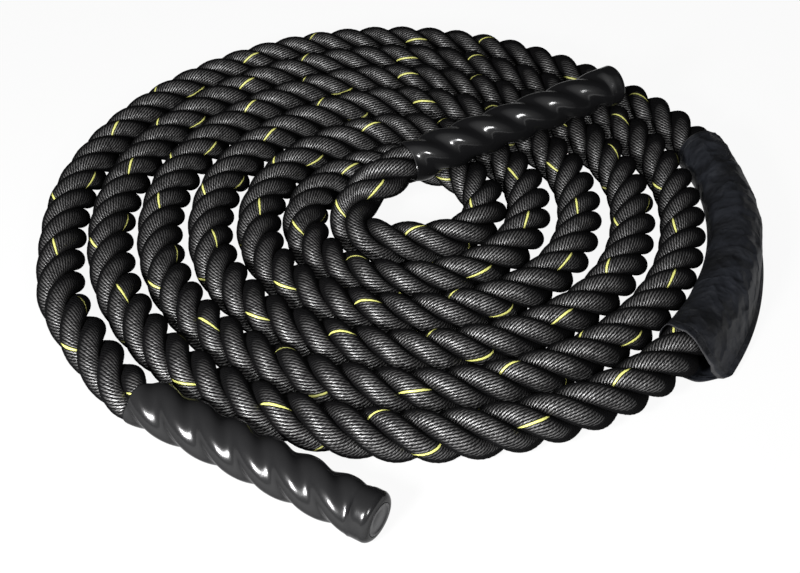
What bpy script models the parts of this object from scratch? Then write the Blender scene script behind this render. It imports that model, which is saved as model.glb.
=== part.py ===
"""Battle rope laid down as a loose flat coil, with a shrunk grip on each end and a sliding sleeve.

Metres, +Z up, with the origin on the floor under the middle of the object. The rope starts at the
outer grip, in front on the left, runs clockwise as seen from above, spirals inwards, climbs over its
own last turn and ends in the inner grip, which lies on top of the coil. A fabric sleeve goes round
the outermost turn and slides along it, which is a turn about the centre of that stretch's curve.
"""
import math

import bpy
import numpy as np
from mathutils import Vector

# Rope
ROPE_DIAMETER = 0.050
FLOOR_FLAT = ROPE_DIAMETER / 10
FIT_GAP = 0.0003

# Coil, in turns counted from the outer end
HOLE_RADIUS = 0.060
TURN_GAP = 0.0057
LOOSE_SWELL = 0.008
LEAN_START = 0.0125
LEAN_GROWTH = 0.026
OVAL = 0.0022
SKEW_START = 0.0013
SKEW_GROWTH = 0.008
SPIRAL_TURNS = 6
POINTS_PER_TURN = 24
START_ANGLE = math.radians(230)
COIL_FIRST_POINT = 2
COIL_LAST_POINT = 134
END_RUN_POINTS = 2.25
END_RISE_POINTS = 3
REST_TURNS = 2.25
COIL_BEVEL_STEPS = 1
END_BEVEL_STEPS = 4
ROUTE_STEPS = 40

# Sleeve of woven fabric, a sewn tube with its seam on the outer side
SLEEVE_LENGTH = 0.370
SLEEVE_WALL = 0.0015
SLEEVE_CLEARANCE = 0.0012
SLEEVE_SLACK = 0.004
SLEEVE_FLARE = 0.024
SLEEVE_TRAVEL = 0.030
SLEEVE_SWING = 0.0060
SLEEVE_TURN_SHARE = 0.685
SLEEVE_RAMP_SHARE = 0.07
SLEEVE_FLARE_SHARE = 1.3
SEAM_PINCH_SHARE = 0.35
SLEEVE_RINGS = 25
SLEEVE_SIDES = 24

# Outer free end, from the coil to the mouth of its grip: turns from the start angle,
# and the clear gaps that it keeps there to the next turn, in rope diameters
OUTER_TURN_SHARES = (0.070, 0.042, 0.025, 0.011, 0.0)
OUTER_GAP_SHARES = (0.050, 0.024, 0.036, 0.072, 0.130)
OUTER_HEADING = math.radians(-31.8)
OUTER_SLOPE = 0.0

# Inner free end, in rope diameters from the coil's centre and up from a rope that lies flat;
# the last point is the mouth of its grip
INNER_ROUTE_SHARES = (
    (1.48, -1.00, 0.10),
    (1.16, -1.38, 0.10),
    (0.72, -1.64, 0.10),
    (-0.05, -1.81, 0.12),
    (-0.70, -1.70, 0.18),
    (-1.08, -1.28, 0.28),
    (-1.16, -0.80, 0.42),
    (-1.00, -0.38, 0.60),
    (-0.62, -0.10, 0.78),
    (-0.29, 0.07, 0.90),
    (0.05, 0.23, 0.97),
)
INNER_HEADING = math.radians(27.0)
INNER_SLOPE = math.radians(5.8)
STRETCH_STEP = 0.018

# Grips, heat-shrunk over the rope's ends
GRIP_LENGTH = 0.280
GRIP_WALL = 0.0012
GRIPPED_ROPE_SHARE = 0.84
SQUEEZE_LENGTH = 0.006
LAY_LENGTH = 0.117
STRANDS = 3
LUMP_HEIGHT = 0.0018
GRIP_SIDES = 24
GRIP_RINGS = 42
SHOULDER_STEPS = 3

# End caps, moulded cups over the rope's ends, and the tape whippings behind them
CAP_WALL = 0.0010
CAP_SKIRT = 0.022
CAP_FLOOR = 0.004
CAP_BOSS_RADIUS = 0.0155
CAP_BOSS_HEIGHT = 0.0022
CAP_RIM_WIDTH = 0.0022
CAP_DISH_DEPTH = 0.0010
CAP_ROUND = 0.004
TAPE_THICKNESS = 0.0006
TAPE_WIDTH = 0.030
TAPE_SETBACK = 0.004

# Colours, roughness and metallic value of each finish
ROPE_BLACK = ((0.018, 0.018, 0.020, 1.0), 0.55, 0.0)
SHRINK_BLACK = ((0.012, 0.012, 0.013, 1.0), 0.22, 0.0)
CAP_BLACK = ((0.020, 0.020, 0.022, 1.0), 0.40, 0.0)
TAPE_GREY = ((0.080, 0.080, 0.085, 1.0), 0.50, 0.0)
SLEEVE_NAVY = ((0.020, 0.022, 0.028, 1.0), 0.75, 0.0)

TURN = 2 * math.pi
ROPE_RADIUS = ROPE_DIAMETER / 2
AXIS_HEIGHT = ROPE_RADIUS - FLOOR_FLAT
TURN_PITCH = ROPE_DIAMETER + TURN_GAP
SLEEVE_RISE = SLEEVE_WALL + SLEEVE_CLEARANCE + FLOOR_FLAT
END_STUB = ROPE_DIAMETER / 6
SKIN_GAP = 2 * FIT_GAP
GRIPPED_RADIUS = ROPE_RADIUS * GRIPPED_ROPE_SHARE
FLOOR_OVERRUN = ROPE_DIAMETER


def clear_scene():
    for item in list(bpy.data.objects):
        bpy.data.objects.remove(item, do_unlink=True)


def finish(name, look):
    """A Principled material from a colour, a roughness and a metallic value."""
    colour, roughness, metallic = look
    material = bpy.data.materials.new(name)
    material.use_nodes = True
    shader = material.node_tree.nodes["Principled BSDF"]
    shader.inputs["Base Color"].default_value = colour
    shader.inputs["Roughness"].default_value = roughness
    shader.inputs["Metallic"].default_value = metallic
    return material


def add_object(name, data, look):
    item = bpy.data.objects.new(name, data)
    bpy.context.scene.collection.objects.link(item)
    item.data.materials.append(finish(name, look))
    return item


def smooth_step(share):
    """Rises from 0 to 1 with level ends."""
    share = np.clip(share, 0.0, 1.0)
    return share * share * (3 - 2 * share)


# Coil


def sleeve_share(turns):
    """1 along the stretch that the sleeve can reach, easing to 0 over a ramp on each side."""
    reach = (SLEEVE_LENGTH / 2 + SLEEVE_TRAVEL) / (TURN * sleeve_turn_radius())
    away = np.abs(np.asarray(turns) - SLEEVE_TURN_SHARE)
    return 1 - smooth_step((away - reach) / SLEEVE_RAMP_SHARE)


def sleeve_turn_radius():
    return HOLE_RADIUS + TURN_PITCH * (SPIRAL_TURNS - SLEEVE_TURN_SHARE)


def coil_radius(turns, angle):
    """Archimedes' spiral, a little fuller halfway in, with turns that lean to the front and skew."""
    inward = turns / SPIRAL_TURNS
    spiral = HOLE_RADIUS + TURN_PITCH * (SPIRAL_TURNS - turns) + LOOSE_SWELL * np.sin(math.pi * inward)
    lean = (LEAN_START + LEAN_GROWTH * inward ** 3) * np.sin(angle)
    skew = (SKEW_GROWTH * inward - SKEW_START) * np.sin(2 * angle)
    oval = OVAL * np.cos(2 * angle)
    return spiral - lean + skew - oval + SLEEVE_SWING * sleeve_share(turns)


def coil_points(turns):
    """Points of the rope's middle line, clockwise, lifted where the sleeve goes under it."""
    turns = np.asarray(turns, float)
    angle = START_ANGLE - TURN * turns
    radius = coil_radius(turns, angle)
    first, last = (COIL_FIRST_POINT + 1) / POINTS_PER_TURN, COIL_LAST_POINT / POINTS_PER_TURN
    ramp = END_RISE_POINTS / POINTS_PER_TURN
    end_rise = 1 - smooth_step((turns - first) / ramp) + 1 - smooth_step((last - turns) / ramp)
    height = AXIS_HEIGHT + SLEEVE_RISE * sleeve_share(turns) + FLOOR_FLAT * end_rise
    return np.stack([radius * np.cos(angle), radius * np.sin(angle), height], axis=1)


def coil_loops():
    """The tube's own points, 24 a turn; the last run is longer, so that both ends are straight."""
    stops = np.arange(COIL_FIRST_POINT, COIL_LAST_POINT + 1)
    points = coil_points(np.append(stops, COIL_LAST_POINT + END_RUN_POINTS) / POINTS_PER_TURN)
    points[0, 2] = points[1, 2]
    points[-1, 2] = points[-2, 2]
    return points


def least_gap():
    """Least clear distance between stretches of the coil that lie half a turn or more apart."""
    fine = 4 * POINTS_PER_TURN
    points = coil_points(np.arange(COIL_FIRST_POINT * 4, COIL_LAST_POINT * 4 + 1) / fine)
    apart = np.linalg.norm(points[:, None, :] - points[None, :, :], axis=2)
    order = np.arange(len(points))
    apart[np.abs(order[:, None] - order[None, :]) < fine // 2] = np.inf
    return apart.min() - ROPE_DIAMETER


def tube(name, points, radii, sides_level):
    """A curve with a round bevel and filled ends, through the points."""
    curve = bpy.data.curves.new(name, "CURVE")
    curve.dimensions = "3D"
    curve.twist_mode = "Z_UP"
    curve.bevel_depth = ROPE_RADIUS
    curve.bevel_resolution = sides_level
    curve.use_fill_caps = True
    spline = curve.splines.new("POLY")
    spline.points.add(len(points) - 1)
    spline.points.foreach_set("co", np.c_[points, np.ones(len(points))].ravel())
    spline.points.foreach_set("radius", np.asarray(radii) / ROPE_RADIUS)
    return curve


def floor_cutter(reach):
    """A slab under the floor that planes the underside of the rope flat."""
    low, high = -FLOOR_OVERRUN, 0.0
    corners = [(x, y, z) for z in (low, high) for y in (-reach, reach) for x in (-reach, reach)]
    faces = [(0, 2, 3, 1), (4, 5, 7, 6), (0, 1, 5, 4), (2, 6, 7, 3), (0, 4, 6, 2), (1, 3, 7, 5)]
    mesh = bpy.data.meshes.new("floor_cutter")
    mesh.from_pydata(corners, [], faces)
    cutter = bpy.data.objects.new("floor_cutter", mesh)
    bpy.context.scene.collection.objects.link(cutter)
    cutter.hide_render = True
    cutter.display_type = "WIRE"
    return cutter


def rope_coil():
    points = coil_loops()
    curve = tube("rope_coil", points, np.full(len(points), ROPE_RADIUS), COIL_BEVEL_STEPS)
    guide = bpy.data.objects.new("rope_coil_guide", curve)
    mesh = bpy.data.meshes.new_from_object(guide)
    bpy.data.objects.remove(guide)
    coil = add_object("rope_coil", mesh, ROPE_BLACK)
    cut = coil.modifiers.new("floor", "BOOLEAN")
    cut.operation = "DIFFERENCE"
    cut.solver = "EXACT"
    cut.object = floor_cutter(2 * sleeve_turn_radius())
    return coil


# Free ends


def smooth_route(points, step):
    """Even points on the Catmull-Rom curve through the given points."""
    points = np.asarray(points, float)
    padded = np.vstack([2 * points[0] - points[1], points, 2 * points[-1] - points[-2]])
    dense = []
    for before, start, end, after in zip(padded, padded[1:], padded[2:], padded[3:]):
        share = np.linspace(0, 1, ROUTE_STEPS, endpoint=False)[:, None]
        out = (end - before) / 2
        into = (after - start) / 2
        curve = ((2 * share ** 3 - 3 * share ** 2 + 1) * start + (share ** 3 - 2 * share ** 2 + share) * out
                 + (3 * share ** 2 - 2 * share ** 3) * end + (share ** 3 - share ** 2) * into)
        dense.append(curve)
    dense = np.vstack(dense + [points[-1:]])
    walked = np.r_[0, np.cumsum(np.linalg.norm(np.diff(dense, axis=0), axis=1))]
    stops = np.linspace(0, walked[-1], max(2, round(walked[-1] / step)) + 1)
    return np.stack([np.interp(stops, walked, dense[:, k]) for k in range(3)], axis=1)


def outer_route():
    """Beside the next turn, with a rope's width and the stated gap between the middle lines."""
    turns = np.array(OUTER_TURN_SHARES)
    angle = START_ANGLE - TURN * turns
    radius = coil_radius(1 + turns, angle) + ROPE_DIAMETER * (1 + np.array(OUTER_GAP_SHARES))
    height = np.full(len(angle), ROPE_RADIUS)
    return np.stack([radius * np.cos(angle), radius * np.sin(angle), height], axis=1)


def inner_route():
    """Round inside the hole and up over the innermost turn."""
    return np.array(INNER_ROUTE_SHARES) * ROPE_DIAMETER + [0, 0, AXIS_HEIGHT]


def heading_vector(heading, slope):
    level = math.cos(slope)
    return np.array([level * math.cos(heading), level * math.sin(heading), math.sin(slope)])


def rope_end(name, loops, route, heading):
    """From the coil's end, a fit gap away, along the route and straight through the grip."""
    tangent = loops[0] - loops[1]
    tangent /= np.linalg.norm(tangent)
    start = loops[0] + tangent * FIT_GAP
    mouth = route[-1]
    bend = np.vstack([start + tangent * END_STUB, route[:-1], mouth - heading * SQUEEZE_LENGTH])
    free = np.vstack([start, smooth_route(bend, STRETCH_STEP)])
    free[:, 2] = np.maximum(free[:, 2], ROPE_RADIUS)
    inside = mouth + heading * np.linspace(0, rope_end_depth(), 4)[:, None]
    radii = np.r_[np.full(len(free) - 1, ROPE_RADIUS), np.full(len(inside) + 1, GRIPPED_RADIUS)]
    return add_object(name, tube(name, np.vstack([free, inside]), radii, END_BEVEL_STEPS), ROPE_BLACK)


# Grips, caps and whippings, each turned about its own +Z from the grip's mouth


def cap_face():
    """Height of the cap's shoulder face, just under the lip of the skin that folds over it."""
    return GRIP_LENGTH - GRIP_WALL - SKIN_GAP


def rope_end_depth():
    """Where the rope's cut end stands, measured from the mouth of its grip."""
    return cap_face() - CAP_FLOOR - FIT_GAP


def ring(height, radius, sides):
    """A circle of points about Z at one height; the radius may be one value for each side."""
    angle = np.arange(sides) * TURN / sides
    radius = np.broadcast_to(radius, sides)
    return np.stack([radius * np.cos(angle), radius * np.sin(angle), np.full(sides, height)], axis=1)


def closed_tube(name, rings):
    """Joins rings into a closed loop of quads, the last ring meeting the first."""
    sides = len(rings[0])
    count = len(rings)
    row = np.arange(count)[:, None] * sides
    after = (np.arange(count)[:, None] + 1) % count * sides
    side = np.arange(sides)[None, :]
    beside = (side + 1) % sides
    faces = np.stack([row + side, row + beside, after + beside, after + side], axis=2).reshape(-1, 4)
    mesh = bpy.data.meshes.new(name)
    mesh.from_pydata(np.vstack(rings).tolist(), [], faces.tolist())
    mesh.shade_smooth()
    return mesh


def place(item, mouth, heading):
    item.location = Vector(mouth)
    item.rotation_mode = "QUATERNION"
    item.rotation_quaternion = Vector(heading).to_track_quat("Z", "Y")
    return item


def skirt_radius():
    return GRIPPED_RADIUS + FIT_GAP + CAP_WALL


def shoulder(outset):
    """Heights and radii round the cap's shoulder, at a distance outside it."""
    turned = np.linspace(0, TURN / 4, SHOULDER_STEPS + 1)
    height = cap_face() - CAP_ROUND + (CAP_ROUND + outset) * np.sin(turned)
    radius = skirt_radius() - CAP_ROUND + (CAP_ROUND + outset) * np.cos(turned)
    return list(zip(height, radius))


def tape_radius():
    return GRIPPED_RADIUS + FIT_GAP + TAPE_THICKNESS


def tape_end():
    return rope_end_depth() - CAP_SKIRT - TAPE_SETBACK


def grip(name, mouth, heading):
    """A shrunk skin: three rope strands press through it, and it folds over the end cap's shoulder."""
    angle = np.arange(GRIP_SIDES) * TURN / GRIP_SIDES
    bore = GRIPPED_RADIUS + SKIN_GAP
    pocket = skirt_radius() + SKIN_GAP
    tape_pocket = tape_radius() + SKIN_GAP
    rounded = shoulder(SKIN_GAP + GRIP_WALL)
    rings = []
    for height in np.linspace(0, rounded[0][0], GRIP_RINGS, endpoint=False):
        lumps = LUMP_HEIGHT * (1 + np.cos(STRANDS * angle - TURN * STRANDS * height / LAY_LENGTH)) / 2
        widen = smooth_step((height - tape_end() + TAPE_WIDTH) / TAPE_WIDTH)
        rings.append(ring(height, bore + GRIP_WALL + lumps + (pocket - bore - lumps) * widen, GRIP_SIDES))
    rings += [ring(height, radius, GRIP_SIDES) for height, radius in rounded]
    skirt_start = rope_end_depth() - CAP_SKIRT - FIT_GAP
    tape_start = tape_end() - TAPE_WIDTH - FIT_GAP
    window = CAP_BOSS_RADIUS + FIT_GAP
    inside = [(GRIP_LENGTH, window), (GRIP_LENGTH - GRIP_WALL, window)] + shoulder(SKIN_GAP)[::-1]
    inside += [(skirt_start, pocket), (skirt_start, tape_pocket), (tape_start, tape_pocket)]
    inside += [(tape_start, bore), (0, bore)]
    rings += [ring(height, radius, GRIP_SIDES) for height, radius in inside]
    return place(add_object(name, closed_tube(name, rings), SHRINK_BLACK), mouth, heading)


def end_cap(name, mouth, heading):
    """A cup with a skirt over the rope's end and a dished boss that shows through the skin's lip."""
    deep = rope_end_depth() - CAP_SKIRT
    bore = GRIPPED_RADIUS + FIT_GAP
    top = cap_face() + CAP_BOSS_HEIGHT
    profile = [(deep, bore), (deep, skirt_radius())] + shoulder(0)
    profile += [(cap_face(), CAP_BOSS_RADIUS), (top, CAP_BOSS_RADIUS)]
    profile += [(top, CAP_BOSS_RADIUS - CAP_RIM_WIDTH)]
    profile += [(top - CAP_DISH_DEPTH, CAP_BOSS_RADIUS - 2 * CAP_RIM_WIDTH)]
    floor = rope_end_depth() + FIT_GAP
    mesh = cup(name, [ring(h, r, GRIP_SIDES) for h, r in profile], top - CAP_DISH_DEPTH, floor, bore)
    return place(add_object(name, mesh, CAP_BLACK), mouth, heading)


def cup(name, rings, dish_height, floor_height, bore):
    """Rings from the skirt's mouth out and up to the dish, closed by a fan there and on the floor."""
    sides = len(rings[0])
    points = np.vstack(rings + [ring(floor_height, bore, sides)])
    count = len(rings)
    faces = []
    for low in range(count - 1):
        for side in range(sides):
            beside = (side + 1) % sides
            faces.append((low * sides + side, low * sides + beside,
                          (low + 1) * sides + beside, (low + 1) * sides + side))
    floor_row = count * sides
    for side in range(sides):
        beside = (side + 1) % sides
        faces.append((floor_row + side, floor_row + beside, beside, side))
    faces.append(tuple((count - 1) * sides + side for side in range(sides)))
    faces.append(tuple(floor_row + side for side in reversed(range(sides))))
    mesh = bpy.data.meshes.new(name)
    mesh.from_pydata(points.tolist(), [], faces)
    mesh.shade_smooth()
    return mesh


def whipping(name, mouth, heading):
    """A band of tape wound round the rope's end behind the cap."""
    low, high = tape_end() - TAPE_WIDTH, tape_end()
    inner, outer = GRIPPED_RADIUS + FIT_GAP, tape_radius()
    rings = [ring(low, inner, GRIP_SIDES), ring(low, outer, GRIP_SIDES),
             ring(high, outer, GRIP_SIDES), ring(high, inner, GRIP_SIDES)]
    return place(add_object(name, closed_tube(name, rings), TAPE_GREY), mouth, heading)


# Sleeve


def sleeve_arc():
    """Centre and radius of the circle through the ends and the middle of the sleeve's stretch."""
    reach = SLEEVE_LENGTH / 2 / (TURN * sleeve_turn_radius())
    spots = coil_points(SLEEVE_TURN_SHARE + np.array([-reach, 0, reach]))[:, :2]
    first, middle, last = spots
    lines = 2 * np.array([middle - first, last - middle])
    offsets = np.array([middle @ middle - first @ first, last @ last - middle @ middle])
    centre = np.linalg.solve(lines, offsets)
    return centre, np.linalg.norm(middle - centre), middle - centre


def sleeve_section(outset, slack, room):
    """A round section on the coil's side, drawn out to a pinched seam on the outer side."""
    angle = np.arange(SLEEVE_SIDES) * TURN / SLEEVE_SIDES
    radius = ROPE_RADIUS + SLEEVE_CLEARANCE + outset
    outward = np.clip(np.cos(angle), 0, 1)
    across = (radius + room) * np.cos(angle) + slack * outward
    up = radius * np.sin(angle) * (1 - SEAM_PINCH_SHARE * outward ** 4)
    return across, up


def anchor_sleeve():
    """The sleeve's skin, carried round its arc, with its origin on the axis that it turns about."""
    centre, radius, middle = sleeve_arc()
    room = radius * (1 - math.cos(math.pi / POINTS_PER_TURN)) / 2
    radius -= room
    half = SLEEVE_LENGTH / 2 / radius
    height = AXIS_HEIGHT + SLEEVE_RISE
    facing = math.atan2(middle[1], middle[0])
    outside, inside = [], []
    for share in np.linspace(-1, 1, SLEEVE_RINGS):
        angle = facing - half * share
        flare = max(0.0, 1 - (1 - share) / SLEEVE_FLARE_SHARE) ** 1.5
        slack = SLEEVE_SLACK + SLEEVE_FLARE * flare
        for rings, outset in ((outside, SLEEVE_WALL), (inside, 0.0)):
            across, up = sleeve_section(outset, slack, room)
            reach = radius + across
            rings.append(np.stack([reach * math.cos(angle), reach * math.sin(angle), height + up], axis=1))
    mesh = closed_tube("anchor_sleeve", outside + inside[::-1])
    sleeve = add_object("anchor_sleeve", mesh, SLEEVE_NAVY)
    sleeve.location = (centre[0], centre[1], 0)
    return sleeve


# Assembly


def centre_on_floor():
    """Moves every piece alike, so that the origin is under the middle of the object's box."""
    bpy.context.view_layer.update()
    graph = bpy.context.evaluated_depsgraph_get()
    low, high = np.full(3, np.inf), np.full(3, -np.inf)
    pieces = [item for item in bpy.context.scene.objects if not item.hide_render]
    for item in pieces:
        evaluated = item.evaluated_get(graph)
        mesh = evaluated.to_mesh()
        points = np.empty(3 * len(mesh.vertices))
        mesh.vertices.foreach_get("co", points)
        matrix = np.array(item.matrix_world)
        points = points.reshape(-1, 3) @ matrix[:3, :3].T + matrix[:3, 3]
        low, high = np.minimum(low, points.min(axis=0)), np.maximum(high, points.max(axis=0))
        evaluated.to_mesh_clear()
    shift = Vector((-(low[0] + high[0]) / 2, -(low[1] + high[1]) / 2, -low[2]))
    for item in bpy.context.scene.objects:
        item.location += shift
    return low, high, shift


def rope_length(loops):
    """Length of the rope's middle line: its coil, both free stretches and both gripped ends."""
    total = np.linalg.norm(np.diff(loops, axis=0), axis=1).sum()
    for end, route in ((loops[0], outer_route()), (loops[-1], inner_route())):
        path = smooth_route(np.vstack([end, route]), STRETCH_STEP)
        total += np.linalg.norm(np.diff(path, axis=0), axis=1).sum() + rope_end_depth()
    return total


def main():
    clear_scene()
    rope_coil()
    loops = coil_loops()
    outer = heading_vector(OUTER_HEADING, OUTER_SLOPE)
    inner = heading_vector(INNER_HEADING, INNER_SLOPE)
    rope_end("rope_outer_end", loops[:2], outer_route(), outer)
    rope_end("rope_inner_end", loops[:-3:-1], inner_route(), inner)
    for side, mouth, heading in (("outer", outer_route()[-1], outer), ("inner", inner_route()[-1], inner)):
        grip(side + "_grip", mouth, heading)
        end_cap(side + "_end_cap", mouth, heading)
        whipping(side + "_whipping", mouth, heading)
    sleeve = anchor_sleeve()
    low, high, shift = centre_on_floor()
    rest = coil_points(REST_TURNS + np.array([0, 1]) / POINTS_PER_TURN).mean(axis=0)
    print("Least gap between turns: %.2f mm" % (least_gap() * 1000))
    print("Rope length: %.3f m" % rope_length(loops))
    print("Box: %s m, moved by %s" % (np.round(high - low, 4).tolist(), [round(v, 6) for v in shift]))
    print("Sleeve turns about: %s" % [round(v, 6) for v in sleeve.location])
    print("Rest face: %s" % [round(v, 6) for v in (rest[0] + shift[0], rest[1] + shift[1], 0.0)])
    print("Sleeve travel: %.2f degrees each way" % math.degrees(SLEEVE_TRAVEL / sleeve_arc()[1]))


main()
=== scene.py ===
"""Dresses a coiled battle rope: three laid strands, shrunk grips, end caps and a sewn sleeve."""
import math

import bpy
import numpy as np
from bpy.props import FloatProperty, FloatVectorProperty, IntProperty, PointerProperty
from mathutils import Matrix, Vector


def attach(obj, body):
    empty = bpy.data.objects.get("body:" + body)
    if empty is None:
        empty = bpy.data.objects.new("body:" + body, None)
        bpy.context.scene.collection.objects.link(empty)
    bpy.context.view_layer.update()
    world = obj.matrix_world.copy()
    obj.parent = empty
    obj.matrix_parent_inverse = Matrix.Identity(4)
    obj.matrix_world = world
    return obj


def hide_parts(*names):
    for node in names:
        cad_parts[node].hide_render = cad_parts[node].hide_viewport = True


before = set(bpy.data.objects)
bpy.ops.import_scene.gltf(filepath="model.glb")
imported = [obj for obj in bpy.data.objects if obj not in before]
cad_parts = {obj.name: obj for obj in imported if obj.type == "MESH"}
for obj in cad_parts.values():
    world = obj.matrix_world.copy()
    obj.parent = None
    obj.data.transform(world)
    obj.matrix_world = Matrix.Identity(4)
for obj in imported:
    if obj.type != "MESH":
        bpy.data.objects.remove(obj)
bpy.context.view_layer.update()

bl_info = {
    "name": "Battle Rope",
    "version": (1, 0, 0),
    "blender": (4, 5, 0),
    "location": "View3D > Sidebar > Battle Rope",
    "description": "Lays a twisted training rope in a flat coil, with its grips and its sleeve",
    "category": "Object",
}

TURN = 2 * math.pi
STRANDS = 3

# Centre of the coil in the shared frame
HUB = np.array([0.006584, 0.045465, 0.0])

# The plain spiral that the solids follow too: turns count from the outer end, clockwise from above
HOLE_RADIUS = 0.060
TURN_PITCH = 0.0557
LOOSE_SWELL = 0.008
LEAN_START = 0.0125
LEAN_GROWTH = 0.026
OVAL = 0.0022
SKEW_START = 0.0013
SKEW_GROWTH = 0.008
SPIRAL_TURNS = 6
START_ANGLE = math.radians(230)
POINTS_PER_TURN = 24
COIL_START = 3 / POINTS_PER_TURN
COIL_END = 134 / POINTS_PER_TURN

# Where the sleeve lies on it, in turns: its middle, how far it reaches when it slides, how far it
# slides each way and the ramps beside it; then how far the rope swings out and up in it
SLEEVE_TURN = 0.685
SLEEVE_REACH = 0.0959
SLEEVE_TRAVEL = 0.0134
SLEEVE_RAMP = 0.07
SLEEVE_SWING = 0.0060
SLEEVE_RISE = 0.0022

# How far each turn lies out from the plain spiral, every eighth of a turn from the outer end:
# lower left, left, upper left, top, upper right, right, lower right, bottom
DRIFT_STEPS = 8
DRIFTS = (
    (0.0, -0.0040, -0.0070, -0.0070, -0.0130, 0.0, 0.0, 0.0030),
    (-0.0010, -0.0050, -0.0060, -0.0050, -0.0130, 0.0030, 0.0050, 0.0020),
    (-0.0020, -0.0065, -0.0055, -0.0020, -0.0105, 0.0015, 0.0065, 0.0010),
    (-0.0030, -0.0085, -0.0060, 0.0, -0.0060, -0.0020, 0.0040, 0.0),
    (-0.0040, -0.0080, -0.0060, 0.0, -0.0040, -0.0005, 0.0025, 0.0),
    (-0.0040, -0.0050, -0.0040, 0.0020, 0.0050, 0.0125, 0.0, 0.0),
)

# Lay of the rope: places along it and the length of one lay there
LAY_PLACES = (0.0, 0.12, 0.2, 0.4, 0.5, 0.6, 2.7, 3.8, 8.5, 9.0, 9.2)
LAY_LENGTHS = (0.1225, 0.1225, 0.1275, 0.1275, 0.1165, 0.1148, 0.1143, 0.1085, 0.1085, 0.1180,
               0.1300)

# The outer free end, where the solids have it: turns, and its gaps there to the next turn as shares
# of the rope's diameter
OUTER_TURNS = (0.0, 0.011, 0.025, 0.042, 0.070)
OUTER_GAP_SHARES = (0.130, 0.072, 0.036, 0.024, 0.050)
OUTER_HEADING = math.radians(-31.8)

# The inner free end, in rope diameters from the coil's centre and up from the solids' lowest axis
INNER_ROUTE_SHARES = (
    (1.78, -0.16, 0.10),
    (1.64, -1.02, 0.10),
    (1.32, -1.44, 0.10),
    (0.84, -1.69, 0.10),
    (0.00, -1.79, 0.12),
    (-0.74, -1.75, 0.15),
    (-1.16, -1.41, 0.22),
    (-1.22, -0.94, 0.34),
    (-1.04, -0.54, 0.52),
    (-0.64, -0.33, 0.73),
    (-0.31, -0.11, 0.87),
    (0.03, 0.09, 0.95),
)
INNER_HEADING = math.radians(27.0)
INNER_SLOPE = math.radians(5.8)
SOLID_AXIS_HEIGHT = 0.020

# The rope inside a grip: the depth of its cut end below the mouth, where it starts to thicken
# before the mouth, and the length over which it does
ROPE_END_DEPTH = 0.2739
SQUEEZE_LEAD = 0.004
SQUEEZE_LENGTH = 0.022

# How the rope's line is drawn: points in a gripped end, samples between two points of the route,
# then even steps, and over how many of those a kink is eased
END_POINTS = 8
ROUTE_SAMPLES = 24
FINE_STEP = 0.002
EASING_POINTS = 5

# Least gaps to the floor, of the strands and of the cloth
STRAND_FLOOR_GAP = 0.0002
CLOTH_FLOOR_GAP = 0.0003

# How the yarns look: how far noise sways them, the slant of their plies, streaks of wear per metre
# along and per yarn across, and how much the plies and the beads of wear stand out
YARN_SWAY = 0.6
PLY_SLANT = 0.8
WEAR_ALONG = 420.0
WEAR_ACROSS = 1.7
PLY_SHARE = 0.18
BEAD_SHARE = 0.35

# The tracer: which yarn of its strand it is, and by how much it thins where the strand turns away
# from the viewer, which paints shade on the strand's sides
TRACER_YARN = 7.0
TRACER_SHADE_TAPER = 0.50

# The skin of a grip: rings along it and points round it, the slant and the ripple of its mouth, the
# bead over the cap's skirt, the valleys between the strands, its small dents and the lip at its end
SKIN_RINGS = 170
SKIN_SIDES = 72
SHOULDER_RINGS = 8
MOUTH_SLANT_SHARE = 0.33
MOUTH_RIPPLE = 0.0012
BEAD_HEIGHT = 0.0005
BEAD_WIDTH = 0.0012
VALLEY_FADE = 0.010
LEAST_VALLEY = 0.0003
VALLEY_POWER = 1.3
DENT_DEPTH = 0.00012
DENTS_PER_METRE = 90
LIP_ROUND = 0.0005
LIP_ROUND_SHARE = 0.4

# Room between the skin and what it is shrunk over
FIT_GAP = 0.0003

# The caps: how far the face lies below the skin's lip and how high its middle is raised, then the
# edge and the raised middle as steps down and in from them, up to the last ring at the centre
CAP_SINK = 0.0006
CAP_RISE = 0.0022
CAP_SIDES = 64
CAP_EDGE = ((0.005, 0.0), (0.0015, 0.0018), (0.0, 0.005))
CAP_FACE = ((0.0006, 0.0), (0.0002, 0.0002), (0.0, 0.0006), (0.0, 0.0020), (0.0003, 0.0024),
            (0.0010, 0.0028), (0.0010, 0.0070), (0.0007, 0.0076))
CAP_CENTRE = 0.0004

# The tape: rings along it, points round it and its thickness
TAPE_RINGS = 16
TAPE_SIDES = 48
TAPE_THICKNESS = 0.0006

# The sleeve's sewn corner from the upper to the lower mouth: how far it lies out from the rope's
# middle, how far below it, and the width of the sewn edge as a share
CORNER_SHARES = (-1.0, -0.5, -0.08, 0.19, 0.60, 0.83, 1.0)
CORNER_REACHES = (0.0275, 0.0284, 0.0297, 0.0320, 0.0378, 0.0415, 0.0440)
CORNER_DROPS = (0.008, 0.009, 0.011, 0.013, 0.017, 0.019, 0.020)
EDGE_WIDTH_SHARES = (0.2, 0.3, 0.5, 0.8, 1.0, 1.0, 0.6)

# The rounding of that corner at the lower mouth, and the width that the edge has on the inner side
CORNER_ROUND = 0.004
CORNER_ROUND_SHARE = 0.04
INSIDE_EDGE = 0.0004

# Rings along the cloth, and points on a section's edge, its straight sides and its round
CLOTH_RINGS = 141
EDGE_POINTS = 6
SIDE_POINTS = 25
ROUND_POINTS = 61

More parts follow.
